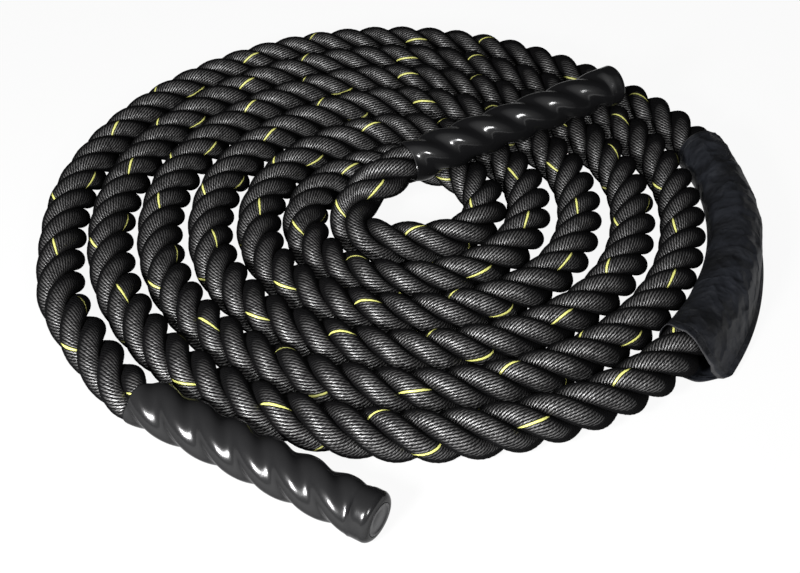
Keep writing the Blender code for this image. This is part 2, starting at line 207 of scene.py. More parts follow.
# Folds of the cloth: their heights, and their waves, each row counting those along it, and those
# per metre across it and up it
SWELL_HEIGHT = 0.0022
SWELL_BASE = 0.6
SWELL_WAVES = ((9, 0, 0), (0, 110, 60))
CREASE_HEIGHT = 0.0016
CREASE_WAVES = ((12, 30, 0), (-5, 120, 0))
FINE_HEIGHT = 0.0006
FINE_WAVES = ((26, -60, 0), (12, 210, 0))
INNER_FOLD_SHARE = 0.35
FOLD_DEPTH = 0.012
FOLD_SPREAD_SHARE = 0.4

# Slack on the sleeve's inner side, its pull towards the coil at the upper mouth, and how far the
# lower mouth is cut back at its corner and on its inner side
INNER_SLACK = 0.0014
UPPER_PULL = 0.0017
CORNER_CUT = 0.026
CORNER_CUT_POWER = 1.3
INNER_CUT = 0.010

# Weave and stitches of the cloth, the width and blur of the pale line painted as a highlight along each
# mouth's folded edge, and how far noise bends the pattern of its facets
WEAVE_PITCH = 0.0016
WEAVE_SHARE = 0.12
HEM_WIDTH = 0.009
STITCH_PITCH = 0.0045
RIM_HIGHLIGHT_WIDTH = 0.0016
RIM_HIGHLIGHT_BLUR = 0.0006
FACET_WANDER = 0.022

# The floor, the lamps and the camera, which stands a distance from the coil's centre
FLOOR_REACH = 12.0
LAMP_SIZE = 0.26
LEFT_LAMP = (-0.50, -0.98, 0.61)
RIGHT_LAMP = (0.42, -1.16, 0.86)
SKY_SLOPE = (-0.62, -0.52, 0.58)
SKY_DARK_SHARE = 0.3
SKY_BRIGHT_SHARE = 2.2
CAMERA_PLACE = (-0.0077, -1.0667, 0.800)
CAMERA_TILT = math.radians(49.5)
SENSOR_WIDTH = 36.0


class RopeSizes(bpy.types.PropertyGroup):
    """Sizes of the rope, its strands and their yarns."""

    diameter: FloatProperty(name="Diameter", description="Across the crowns of the strands",
                            default=0.050, unit="LENGTH")
    bedding: FloatProperty(name="Bedding", description="How far the crowns flatten against the floor",
                           default=0.0010, unit="LENGTH")
    start: FloatProperty(name="Start", description="Turn of the first strand at the outer end",
                         default=0.969, unit="ROTATION")
    strand: FloatProperty(name="Strand", description="Radius of one strand",
                          default=0.0114, unit="LENGTH")
    yarns: IntProperty(name="Yarns", description="Yarns round the outside of one strand",
                       default=16, subtype="UNSIGNED")
    twist: FloatProperty(name="Twist", description="Turns of a yarn round its strand in one lay",
                         default=3.42)
    ply: FloatProperty(name="Ply", description="Way along the rope from one ply of a yarn to the next",
                       default=0.0021, unit="LENGTH")
    squeeze: FloatProperty(name="Squeeze", description="The rope's thickness inside a grip, as a share",
                           default=0.84, subtype="FACTOR")
    bare: FloatProperty(name="Bare", description="Rope left bare by the trimmed outer skin",
                        default=0.020, unit="LENGTH")
    step: FloatProperty(name="Step", description="Distance between the rings of a strand",
                        default=0.0035, unit="LENGTH")
    sides: IntProperty(name="Sides", description="Points round one strand", default=20,
                       subtype="UNSIGNED")
    black: FloatVectorProperty(name="Yarn", description="Colour of the yarn", size=4,
                               default=(0.0075, 0.0074, 0.0078, 1.0), subtype="COLOR")
    # Painted highlight: a pale sheen colour mixed into the yarns' crests, fading where the strands turn away
    # from the viewer and in patches of wear
    painted_sheen: FloatVectorProperty(name="Yarn crest", description="Colour of the worn crest of a yarn",
                               size=4, default=(0.080, 0.0765, 0.0755, 1.0), subtype="COLOR")
    tracer: FloatVectorProperty(name="Tracer", description="Colour of the tracer yarn", size=4,
                                default=(0.84, 0.84, 0.24, 1.0), subtype="COLOR")


class GripSizes(bpy.types.PropertyGroup):
    """Sizes of the shrunk grips, and of the caps and the tape under them."""

    length: FloatProperty(name="Length", description="From the mouth to the end", default=0.280,
                          unit="LENGTH")
    mouth_radius: FloatProperty(name="Mouth radius", description="Over the crowns, at the mouth",
                                default=0.0250, unit="LENGTH")
    end_radius: FloatProperty(name="End radius", description="Over the cap's skirt", default=0.0238,
                              unit="LENGTH")
    trim: FloatProperty(name="Trim", description="How far the outer skin is cut back at its mouth",
                        default=0.0225, unit="LENGTH")
    wall: FloatProperty(name="Wall", description="Thickness of the skin", default=0.0012,
                        unit="LENGTH")
    lump: FloatProperty(name="Lump", description="Depth of the valleys between the strands",
                        default=0.0040, unit="LENGTH")
    tape: FloatProperty(name="Tape", description="Width of the binding tape", default=0.030,
                        unit="LENGTH")
    tape_end: FloatProperty(name="Tape end", description="Where the tape ends, from the mouth",
                            default=0.2479, unit="LENGTH")
    skirt: FloatProperty(name="Skirt", description="Length of the cap's skirt", default=0.012,
                         unit="LENGTH")
    shoulder: FloatProperty(name="Shoulder", description="Rounding of the end", default=0.0070,
                            unit="LENGTH")
    window: FloatProperty(name="Window", description="Radius of the cap's face that shows",
                          default=0.0158, unit="LENGTH")
    black: FloatVectorProperty(name="Skin", description="Colour of the skin", size=4,
                               default=(0.0080, 0.0080, 0.0086, 1.0), subtype="COLOR")
    cap_black: FloatVectorProperty(name="Cap", description="Colour of the cap's rubber", size=4,
                                   default=(0.018, 0.018, 0.020, 1.0), subtype="COLOR")
    cap_pale: FloatVectorProperty(name="Cap patches", description="Colour of the rubber's pale patches",
                                  size=4, default=(0.026, 0.026, 0.028, 1.0), subtype="COLOR")
    tape_grey: FloatVectorProperty(name="Tape grey", description="Colour of the tape", size=4,
                                   default=(0.065, 0.065, 0.070, 1.0), subtype="COLOR")
    tape_pale: FloatVectorProperty(name="Tape patches", description="Colour of the tape's pale patches",
                                   size=4, default=(0.095, 0.095, 0.100, 1.0), subtype="COLOR")


class SleeveSizes(bpy.types.PropertyGroup):
    """Sizes of the sewn sleeve."""

    length: FloatProperty(name="Length", description="Along the rope", default=0.377,
                          unit="LENGTH")
    shift: FloatProperty(name="Shift", description="How far the cloth has crept towards the outer end",
                         default=0.0065, unit="LENGTH")
    wall: FloatProperty(name="Wall", description="Thickness of the cloth", default=0.0008,
                        unit="LENGTH")
    clearance: FloatProperty(name="Clearance", description="From the rope's crowns to the cloth",
                             default=0.0019, unit="LENGTH")
    flange: FloatProperty(name="Flange", description="Width of the sewn edge", default=0.006,
                          unit="LENGTH")
    navy: FloatVectorProperty(name="Cloth", description="Colour of the cloth", size=4,
                              default=(0.0125, 0.0140, 0.0185, 1.0), subtype="COLOR")
    worn_share: FloatProperty(name="Worn share", description="Colour of its dark patches, as a share",
                              default=0.25, subtype="FACTOR")
    # Painted highlight: a pale grey line along the folded rim at each of the sleeve's mouths
    rim_highlight: FloatVectorProperty(name="Rim", description="Colour of the cloth's folded rim", size=4,
                             default=(0.045, 0.045, 0.048, 1.0), subtype="COLOR")


class StudioSettings(bpy.types.PropertyGroup):
    """The floor, the lamps and the camera."""

    lens: FloatProperty(name="Lens", description="Focal length of the camera", default=51.63,
                        unit="CAMERA")
    key_power: FloatProperty(name="Key", description="Power of the lamp on the left", default=17.2,
                             unit="POWER")
    fill_power: FloatProperty(name="Fill", description="Power of the lamp on the right", default=6.0,
                              unit="POWER")
    sky: FloatProperty(name="Sky", description="Strength of the light from all round", default=0.175)
    glow: FloatProperty(name="Floor glow", description="Share of plain white in the floor as it is seen",
                        default=0.92, subtype="FACTOR")
    floor: FloatVectorProperty(name="Floor", description="Colour of the floor", size=4,
                               default=(0.95, 0.95, 0.95, 1.0), subtype="COLOR")


def ramp(value, start, length):
    """Rises from 0 at the start to 1 a length further on, with level ends: 3x^2 - 2x^3."""
    share = np.clip((value - start) / length, 0.0, 1.0)
    return share * share * (3 - 2 * share)


def direction(heading, slope):
    """Unit vector from its angle round Z and its angle above the floor."""
    return np.array([math.cos(slope) * math.cos(heading), math.cos(slope) * math.sin(heading),
                     math.sin(slope)])


def unit(vectors):
    """Each vector divided by its own length."""
    return vectors / np.linalg.norm(vectors, axis=-1, keepdims=True)


def wave_noise(x, y, seed, octaves=4):
    """Soft noise: sums of sines across slanted lines, each octave finer and weaker than the last."""
    rng = np.random.default_rng(seed)
    total = np.zeros(np.broadcast(x, y).shape)
    for octave in range(octaves):
        for _ in range(4):
            slant = rng.uniform(0, TURN)
            phase = rng.uniform(0, TURN)
            pitch = 2.0 ** octave * rng.uniform(0.8, 1.25)
            total += np.sin(pitch * (x * math.cos(slant) + y * math.sin(slant)) + phase) / 2 ** octave
    return total / 4


# Middle line of the rope


def sleeve_share(turns):
    """1 where the sleeve can lie, easing to 0 over a ramp on each side."""
    return 1 - ramp(np.abs(turns - SLEEVE_TURN), SLEEVE_REACH, SLEEVE_RAMP)


def coil_radius(turns):
    """Archimedes' spiral plus a sine swell, leaning with sin(a) and skewed with sin(2a), cos(2a)."""
    angle = START_ANGLE - TURN * turns
    inward = turns / SPIRAL_TURNS
    spiral = HOLE_RADIUS + TURN_PITCH * (SPIRAL_TURNS - turns) + LOOSE_SWELL * np.sin(math.pi * inward)
    lean = (LEAN_START + LEAN_GROWTH * inward ** 3) * np.sin(angle)
    skew = (SKEW_GROWTH * inward - SKEW_START) * np.sin(2 * angle)
    return spiral - lean + skew - OVAL * np.cos(2 * angle) + SLEEVE_SWING * sleeve_share(turns)


def drift(turns):
    """The table's places joined with level-ended cubic steps, up to just before the last one."""
    table = np.array(DRIFTS).ravel()
    places = np.clip(turns * DRIFT_STEPS, 0, len(table) - 1.001)
    first = places.astype(int)
    return table[first] + (table[first + 1] - table[first]) * ramp(places - first, 0, 1)


def coil_points(turns, height, drifts=1.0):
    """Points of the coil at the given turns: polar radius and angle, clockwise."""
    angle = START_ANGLE - TURN * turns
    radius = coil_radius(turns) + drifts * drift(turns)
    return np.stack([radius * np.cos(angle), radius * np.sin(angle),
                     height + SLEEVE_RISE * sleeve_share(turns)], axis=1)


def outer_route(sizes):
    """Beside the next turn, one rope's width and a small gap out from it."""
    turns = np.array(OUTER_TURNS)
    angle = START_ANGLE - TURN * turns
    radius = coil_radius(1 + turns) + sizes.diameter * (1 + np.array(OUTER_GAP_SHARES))
    height = np.full(len(turns), sizes.diameter / 2)
    return np.stack([radius * np.cos(angle), radius * np.sin(angle), height], axis=1)


def inner_route(sizes):
    """Round inside the hole and up over the innermost turn, to the mouth of the inner grip."""
    return np.array(INNER_ROUTE_SHARES) * sizes.diameter + [0, 0, SOLID_AXIS_HEIGHT]


def catmull_rom(points, samples):
    """Cubic pieces through the points; each slope is half the step between its neighbours."""
    ends = np.vstack([2 * points[0] - points[1], points, 2 * points[-1] - points[-2]])
    before, start, stop, after = ends[:-3, None], ends[1:-2, None], ends[2:-1, None], ends[3:, None]
    t = np.linspace(0, 1, samples, endpoint=False)[None, :, None]
    curve = 0.5 * (2 * start + (stop - before) * t + (2 * before - 5 * start + 4 * stop - after) * t ** 2
                   + (3 * start - before - 3 * stop + after) * t ** 3)
    return np.vstack([curve.reshape(-1, 3), points[-1:]])


def even_points(points, step):
    """The same line with points at even distances along it."""
    walked = np.r_[0, np.cumsum(np.linalg.norm(np.diff(points, axis=0), axis=1))]
    stops = np.linspace(0, walked[-1], int(round(walked[-1] / step)) + 1)
    return np.stack([np.interp(stops, walked, points[:, k]) for k in range(3)], axis=1)


def softened(points, width):
    """A running mean, weighted with a bell out to three widths, that eases kinks; the ends stay."""
    reach = np.arange(-3 * width, 3 * width + 1)
    bell = np.exp(-0.5 * (reach / width) ** 2)
    bell /= bell.sum()
    ends = np.vstack([2 * points[:1] - points[3 * width:0:-1], points,
                      2 * points[-1:] - points[-2:-3 * width - 2:-1]])
    return np.stack([np.convolve(ends[:, k], bell, "valid") for k in range(3)], axis=1)


def rope_line(sizes):
    """The rope's middle line, from its cut end in the outer cap to its cut end in the inner one."""
    low = sizes.diameter / 2 - sizes.bedding
    depth = np.linspace(ROPE_END_DEPTH, 0, END_POINTS, endpoint=False)[:, None]
    outer = outer_route(sizes)
    inner = inner_route(sizes)
    inner[:, 2] = np.maximum(inner[:, 2], low)
    coil = coil_points(np.arange(COIL_START, COIL_END, 1 / POINTS_PER_TURN), low)
    controls = np.vstack([outer[0] + direction(OUTER_HEADING, 0) * depth, outer, coil, inner,
                          inner[-1] + direction(INNER_HEADING, INNER_SLOPE) * depth[::-1]])
    fine = even_points(catmull_rom(controls, ROUTE_SAMPLES), FINE_STEP)
    return even_points(softened(fine, EASING_POINTS), sizes.step) + HUB


def rope_frames(line):
    """Tangent, level side and upward side at each point of the line."""
    tangent = unit(np.gradient(line, axis=0))
    left = unit(np.cross([0.0, 0.0, 1.0], tangent))
    return tangent, left, np.cross(tangent, left)


def lay_angle(line, sizes):
    """Turn of the strands at each point, the sum of the steps over the lay, and the way along to it."""
    steps = np.r_[0, np.linalg.norm(np.diff(line, axis=0), axis=1)]
    along = np.cumsum(steps)
    lay = np.interp(along, LAY_PLACES, LAY_LENGTHS)
    return sizes.start + TURN * np.cumsum(steps / lay), along


def squeezed(along, sizes):
    """The rope's thickness as a share: thinner inside both grips, full soon after their mouths."""
    outside = np.minimum(along + sizes.bare, along[-1] - along) - ROPE_END_DEPTH
    return sizes.squeeze + (1 - sizes.squeeze) * ramp(outside, -SQUEEZE_LEAD, SQUEEZE_LENGTH)


# Meshes


def skin_mesh(name, points, uv=None, ends="closed"):
    """Quads over a grid of rings; ends are closed by one face each, or the last ring meets the first."""
    rings, sides = points.shape[:2]
    loop = ends == "ring"
    row = np.arange(rings if loop else rings - 1)[:, None]
    col = np.arange(sides)[None, :]
    beside, after = (col + 1) % sides, (row + 1) % rings
    quads = np.stack([row * sides + col, row * sides + beside, after * sides + beside,
                      after * sides + col], axis=2).reshape(-1, 4)
    loops = quads.ravel()
    starts = np.arange(len(quads)) * 4
    if not loop:
        first = np.arange(sides)[::-1]
        last = (rings - 1) * sides + np.arange(sides)
        loops = np.concatenate([loops, first, last])
        starts = np.concatenate([starts, [4 * len(quads), 4 * len(quads) + sides]])
    mesh = bpy.data.meshes.new(name)
    mesh.vertices.add(rings * sides)
    mesh.vertices.foreach_set("co", np.ascontiguousarray(points, dtype=np.float32).ravel())
    mesh.loops.add(len(loops))
    mesh.loops.foreach_set("vertex_index", loops.astype(np.int32))
    mesh.polygons.add(len(starts))
    mesh.polygons.foreach_set("loop_start", starts.astype(np.int32))
    if uv is not None:
        layer = mesh.uv_layers.new(name="UVMap")
        corner = np.stack([uv[row, col], uv[row, col + 1], uv[row + 1, col + 1], uv[row + 1, col]],
                          axis=2).reshape(-1, 2)
        filled = np.zeros((len(loops), 2), dtype=np.float32)
        filled[:len(corner)] = corner
        layer.data.foreach_set("uv", filled.ravel())
    mesh.update(calc_edges=True)
    mesh.validate()
    mesh.shade_smooth()
    return mesh


def add_piece(name, mesh, material, body):
    """A finished piece at the origin that rides on a body."""
    piece = bpy.data.objects.new(name, mesh)
    bpy.context.scene.collection.objects.link(piece)
    piece.data.materials.append(material)
    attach(piece, body)
    return piece


# Materials


class Shader:
    """A new material's node tree, with short calls to add and join its nodes."""

    def __init__(self, name):
        self.material = bpy.data.materials.new(name)
        self.material.use_nodes = True
        self.tree = self.material.node_tree
        self.surface = self.tree.nodes["Principled BSDF"]

    def node(self, kind, **settings):
        """A new node with the given settings."""
        made = self.tree.nodes.new(kind)
        for key, value in settings.items():
            setattr(made, key, value)
        return made

    def feed(self, socket, value):
        """Joins the socket to another one, or gives it a plain value."""
        if isinstance(value, bpy.types.NodeSocket):
            self.tree.links.new(value, socket)
        else:
            socket.default_value = value

    def put(self, name, value):
        """Feeds the surface's socket of that name."""
        self.feed(self.surface.inputs[name], value)

    def math(self, operation, first, second=0.0):
        """The operation on one or two values."""
        made = self.node("ShaderNodeMath", operation=operation)
        self.feed(made.inputs[0], first)
        self.feed(made.inputs[1], second)
        return made.outputs[0]

    def times(self, first, second):
        """The first value times the second."""
        return self.math("MULTIPLY", first, second)

    def plus(self, first, second):
        """The first value plus the second."""
        return self.math("ADD", first, second)

    def minus(self, first, second):
        """The first value less the second."""
        return self.math("SUBTRACT", first, second)

    def wave(self, place, pitch):
        """Sine of the place, one wave to each pitch."""
        return self.math("SINE", self.times(place, TURN / pitch))

    def mix(self, factor, first, second):
        """The first colour where the factor is 0, the second where it is 1."""
        made = self.node("ShaderNodeMix", data_type="RGBA")
        self.feed(made.inputs[0], factor)
        self.feed(made.inputs[6], first)
        self.feed(made.inputs[7], second)
        return made.outputs[2]

    def spread(self, value, low, high, new_low=0.0, new_high=1.0):
        """The value's way from low to high, as the same way from new_low to new_high."""
        made = self.node("ShaderNodeMapRange", clamp=True)
        for socket, number in zip(made.inputs, (value, low, high, new_low, new_high)):
            self.feed(socket, number)
        return made.outputs[0]

    def noise(self, vector, scale, detail=2.0, roughness=0.5):
        """Cloudy noise round one half."""
        made = self.node("ShaderNodeTexNoise")
        self.feed(made.inputs["Vector"], vector)
        self.feed(made.inputs["Scale"], scale)
        self.feed(made.inputs["Detail"], detail)
        self.feed(made.inputs["Roughness"], roughness)
        return made.outputs["Fac"]

    def bump(self, height, distance, strength=1.0, normal=None):
        """A normal bent by the height, on top of another normal if there is one."""
        made = self.node("ShaderNodeBump")
        self.feed(made.inputs["Height"], height)
        self.feed(made.inputs["Distance"], distance)
        self.feed(made.inputs["Strength"], strength)
        if normal is not None:
            self.feed(made.inputs["Normal"], normal)
        return made.outputs["Normal"]

    def place(self, name="Object"):
        """The place on the piece, in its own metres or in its UV map."""
        return self.node("ShaderNodeTexCoord").outputs[name]

    def uv(self):
        """The UV map's U and V."""
        split = self.node("ShaderNodeSeparateXYZ")
        self.feed(split.inputs[0], self.place("UV"))
        return split.outputs[0], split.outputs[1]

    def facing(self):
        """0 where the surface faces the viewer, rising to 1 where it turns away."""
        return self.node("ShaderNodeLayerWeight").outputs["Facing"]


def tracer_stripe(shader, across, crest, painted_shade_facing, yarns):
    """1 on the tracer yarn, which thins out where its strand turns away from the viewer, as painted shade on
    the strand's sides.
    """
    number = shader.math("FLOORED_MODULO", shader.math("FLOOR", across), float(yarns))
    is_tracer = shader.math("COMPARE", number, TRACER_YARN)
    is_tracer.node.inputs[2].default_value = 0.5
    # Painted shade: the stripe narrows where the strand turns away from the viewer
    shade_taper = shader.spread(painted_shade_facing, low=0.30, high=0.75, new_low=0.0, new_high=TRACER_SHADE_TAPER)
    return shader.times(is_tracer, shader.spread(shader.minus(crest, shade_taper), low=0.50, high=0.85))


def yarn_material(name, sizes, traced):
    """Round yarns side by side: V counts them, and U is the way along the rope.

    A yarn's crest is sqrt(1 - x^2), with x from -1 to 1 across it. A pale sheen is painted on the crest
    as a painted highlight. It fades off the crest, between its slanted plies and where it is worn, and
    fades as painted shade on the strand's sides that turn away from the viewer. The same share sets the
    gloss.
    """
    shader = Shader(name)
    along, yarn = shader.uv()
    sway = shader.noise(shader.place(), scale=55.0)
    across = shader.plus(yarn, shader.times(sway, YARN_SWAY))
    centred = shader.minus(shader.times(shader.math("FRACT", across), 2.0), 1.0)
    crest = shader.math("SQRT", shader.minus(1.0, shader.times(centred, centred)))
    ply = shader.plus(shader.math("DIVIDE", along, sizes.ply), shader.times(across, PLY_SLANT))
    stretched = shader.node("ShaderNodeCombineXYZ")
    shader.feed(stretched.inputs[0], shader.times(along, WEAR_ALONG))
    shader.feed(stretched.inputs[1], shader.times(across, WEAR_ACROSS))
    wear = shader.noise(stretched.outputs[0], scale=1.0, detail=3.0, roughness=0.6)
    beads = shader.plus(shader.times(shader.math("SINE", shader.times(ply, TURN)), PLY_SHARE), wear)
    # The share of painted sheen: on the crests of the yarns and their plies, less where they are worn
    light = shader.times(shader.spread(crest, low=0.76, high=0.98),
                         shader.spread(beads, low=0.24, high=0.60))
    # Painted shade: the sheen and the tracer fade where the strand turns away from the viewer
    painted_shade_facing = shader.facing()
    light = shader.times(light, shader.spread(painted_shade_facing, low=0.46, high=0.12))
    worn = shader.noise(shader.place(), scale=90.0, detail=3.0, roughness=0.6)
    light = shader.times(light, shader.spread(worn, low=0.34, high=0.58, new_low=0.42))
    # Painted highlight: the crests are mixed from black towards the pale sheen colour
    colour = shader.mix(light, tuple(sizes.black), tuple(sizes.painted_sheen))
    if traced:
        stripe = tracer_stripe(shader, across, crest, painted_shade_facing, sizes.yarns)
        colour = shader.mix(stripe, colour, tuple(sizes.tracer))
    shader.put("Base Color", colour)
    height = shader.plus(crest, shader.times(beads, BEAD_SHARE))
    shader.put("Normal", shader.bump(height, distance=0.0008))
    shader.put("Roughness", 0.43)
    shader.put("IOR", 1.95)
    shader.put("Specular IOR Level", shader.spread(light, low=0.0, high=0.7))
    return shader.material


def skin_material(name, sizes, roughness, dull_from, dull_to, gloss, edge_gloss):
    """Glossy shrunk plastic with a faint orange-peel surface, duller where it turns away."""
    shader = Shader(name)
    shader.put("Base Color", tuple(sizes.black))
    shader.put("Roughness", roughness)
    shader.put("Specular IOR Level", shader.spread(shader.facing(), dull_from, dull_to, gloss, edge_gloss))
    waves = shader.noise(shader.place(), scale=180.0, detail=3.0)
    shader.put("Normal", shader.bump(waves, distance=0.0003, strength=0.3))
    return shader.material


def patchy_material(name, colour, pale, roughness, patch_scale, grain_scale):
    """Dull stuff with pale patches and a fine grain, for the moulded rubber and the tape."""
    shader = Shader(name)
    patches = shader.noise(shader.place(), scale=patch_scale, detail=3.0)
    shader.put("Base Color", shader.mix(shader.spread(patches, low=0.35, high=0.65), colour, pale))
    shader.put("Roughness", roughness)
    grain = shader.noise(shader.place(), scale=grain_scale)
    shader.put("Normal", shader.bump(grain, distance=0.0002, strength=0.4))
    return shader.material


def stitched_weave(shader, along, across, sizes):
    """Height of the plain weave, sin(u) sin(v), with a groove and dashes of thread near each edge."""
    weave = shader.times(shader.wave(along, WEAVE_PITCH), shader.wave(across, WEAVE_PITCH))
    hem = shader.minus(shader.math("ABSOLUTE", along), sizes.length / 2 - HEM_WIDTH)
    seam = shader.minus(across, sizes.flange)
    row = shader.math("MINIMUM", shader.math("ABSOLUTE", hem), shader.math("ABSOLUTE", seam))
    groove = shader.spread(row, low=0.0003, high=0.0014)
    dash = shader.wave(shader.plus(along, across), STITCH_PITCH)
    thread = shader.times(shader.spread(row, low=0.0006, high=0.0002),
                          shader.spread(dash, low=-0.2, high=0.2))
    return shader.plus(shader.times(weave, WEAVE_SHARE), shader.plus(groove, thread))


def crumpled_normal(shader):
    """Soft folds, and two sizes of facets: distances to scattered points, in a place bent by noise."""
    wander = shader.node("ShaderNodeTexNoise")
    shader.feed(wander.inputs["Vector"], shader.place())
    shader.feed(wander.inputs["Scale"], 40.0)
    scaled = shader.node("ShaderNodeVectorMath", operation="SCALE")
    shader.feed(scaled.inputs[0], wander.outputs["Color"])
    shader.feed(scaled.inputs["Scale"], FACET_WANDER)
    bent = shader.node("ShaderNodeVectorMath", operation="ADD")
    shader.feed(bent.inputs[0], shader.place())
    shader.feed(bent.inputs[1], scaled.outputs[0])
    facets = shader.node("ShaderNodeTexVoronoi", feature="SMOOTH_F1")
    shader.feed(facets.inputs["Vector"], bent.outputs[0])
    shader.feed(facets.inputs["Scale"], 40.0)
    shader.feed(facets.inputs["Smoothness"], 0.2)
    crumples = shader.node("ShaderNodeTexVoronoi", feature="F1")
    shader.feed(crumples.inputs["Vector"], bent.outputs[0])
    shader.feed(crumples.inputs["Scale"], 48.0)
    folds = shader.noise(shader.place(), scale=34.0, detail=3.0)
    normal = shader.bump(folds, distance=0.008, strength=0.5)
    normal = shader.bump(facets.outputs["Distance"], distance=0.011, strength=0.8, normal=normal)
    return shader.bump(crumples.outputs["Distance"], distance=0.008, strength=0.45, normal=normal)


def cloth_material(name, sizes):
    """Plain-woven nylon, crumpled and stitched; U runs along the sleeve, V in from its sewn edge."""
    shader = Shader(name)
    along, across = shader.uv()
    height = stitched_weave(shader, along, across, sizes)
    shader.put("Normal", shader.bump(height, distance=0.0007, strength=0.8, normal=crumpled_normal(shader)))
    patches = shader.noise(shader.place(), scale=18.0, detail=3.0)
    dark = tuple(sizes.worn_share * c for c in sizes.navy[:3]) + (1.0,)
    colour = shader.mix(shader.spread(patches, low=0.38, high=0.60), dark, tuple(sizes.navy))
    # Painted highlight: a pale grey line along the folded rim at each mouth, where the edge catches the
    # light
    rim_highlight_start = sizes.length / 2 - RIM_HIGHLIGHT_WIDTH
    rim_highlight = shader.spread(shader.math("ABSOLUTE", along), low=rim_highlight_start, high=rim_highlight_start + RIM_HIGHLIGHT_BLUR)
    shader.put("Base Color", shader.mix(rim_highlight, colour, tuple(sizes.rim_highlight)))
    shader.put("Roughness", 0.62)
    shader.put("Specular IOR Level", 0.22)
    return shader.material


# Rope


class LayRope(bpy.types.Operator):
    """Lays three strands round the rope's middle line"""

    bl_idname = "battle_rope.lay_rope"
    bl_label = "Rope"

    def execute(self, context):
        sizes = context.scene.rope_sizes
        line = rope_line(sizes)
        turned, along = lay_angle(line, sizes)
        materials = [yarn_material("traced_yarn", sizes, True), yarn_material("black_yarn", sizes, False)]
        for number in range(STRANDS):
            points, uv = strand_surface(line, turned + number * TURN / STRANDS, along, sizes)
            mesh = skin_mesh("rope_strand_%d" % (number + 1), points, uv)
            add_piece(mesh.name, mesh, materials[min(number, 1)], "rope")
        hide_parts("rope_coil", "rope_outer_end", "rope_inner_end")
        return {"FINISHED"}


def strand_surface(line, turned, along, sizes):
    """A tube round a helix about the line: line + d(cos a left + sin a up), a growing with the lay.

    U is the way along the rope and V the number of the yarn, which turns round its strand.
    """
    tangent, left, up = rope_frames(line)
    thick = squeezed(along, sizes)
    orbit = (sizes.diameter / 2 - sizes.strand) * thick
    outward = np.cos(turned)[:, None] * left + np.sin(turned)[:, None] * up
    centre = line + orbit[:, None] * outward
    heading = unit(np.gradient(centre, axis=0))
    outward = unit(outward - (outward * heading).sum(axis=1, keepdims=True) * heading)
    beside = np.cross(heading, outward)
    angle = np.arange(sizes.sides) * TURN / sizes.sides
    ring = (np.cos(angle)[None, :, None] * outward[:, None] + np.sin(angle)[None, :, None] * beside[:, None])
    points = centre[:, None] + ring * (sizes.strand * thick)[:, None, None]
    points[..., 2] = np.maximum(points[..., 2], STRAND_FLOOR_GAP)
    round_share = np.arange(sizes.sides + 1) / sizes.sides
    yarn = sizes.yarns * (round_share[None, :] + sizes.twist * turned[:, None] / TURN)
    uv = np.stack([np.broadcast_to(along[:, None], yarn.shape), yarn], axis=2)
    return points, uv


# Grips, caps and tape


def grip_axes(heading, slope):
    """The grip's own axis and its level and upward sides."""
    axis = direction(heading, slope)
    left = unit(np.cross([0.0, 0.0, 1.0], axis))
    return axis, left, np.cross(axis, left)


def grip_places(rope, line):
    """For each grip: its name, mouth, axes and the turn of the strands at a height above the mouth."""
    turned, along = lay_angle(line, rope)

    def outer_turn(height):
        """Half a turn less the line's turn, because the outer grip's axis runs against the line."""
        return math.pi - np.interp(ROPE_END_DEPTH - height, along, turned)

    def inner_turn(height):
        """The line's turn, that far beyond the mouth."""
        return np.interp(along[-1] - ROPE_END_DEPTH + height, along, turned)

    return (("outer", outer_route(rope)[0] + HUB, grip_axes(OUTER_HEADING, 0.0), outer_turn),
            ("inner", inner_route(rope)[-1] + HUB, grip_axes(INNER_HEADING, INNER_SLOPE), inner_turn))


def ring_heights(heights):
    """A row of heights for each ring: a plain list of heights becomes a column."""
    return heights if heights.ndim == 2 else heights[:, None]


def lathe(mouth, axes, heights, radii, sides):
    """Rings round an axis: mouth + h axis + r(cos a left + sin a up)."""
    axis, left, up = axes
    angle = np.arange(sides) * TURN / sides
    around = np.cos(angle)[:, None] * left + np.sin(angle)[:, None] * up
    return mouth + ring_heights(heights)[..., None] * axis + radii[..., None] * around[None]


def lumpy_radii(heights, turn, sizes, sides):
    """Crown radius minus a valley of ((1 - cos 3a)/2)^1.3 that follows the strands up to the cap."""
    skirt_start = sizes.length - sizes.shoulder - sizes.skirt
    angle = np.arange(sides) * TURN / sides
    heights = ring_heights(heights)
    crown = sizes.mouth_radius + (sizes.end_radius - sizes.mouth_radius) * ramp(heights, 0, skirt_start)
    crown = crown + BEAD_HEIGHT * np.exp(-((heights - skirt_start) / BEAD_WIDTH) ** 2)
    fade = 1 - ramp(heights - skirt_start, -VALLEY_FADE / 2, VALLEY_FADE)
    depth = sizes.lump * fade + LEAST_VALLEY
    wave = ((1 - np.cos(STRANDS * (angle[None, :] - turn(heights)))) / 2) ** VALLEY_POWER
    dents = wave_noise(heights * DENTS_PER_METRE, 2 * np.cos(angle)[None, :], seed=3) * DENT_DEPTH
    return crown - depth * wave + dents * wave


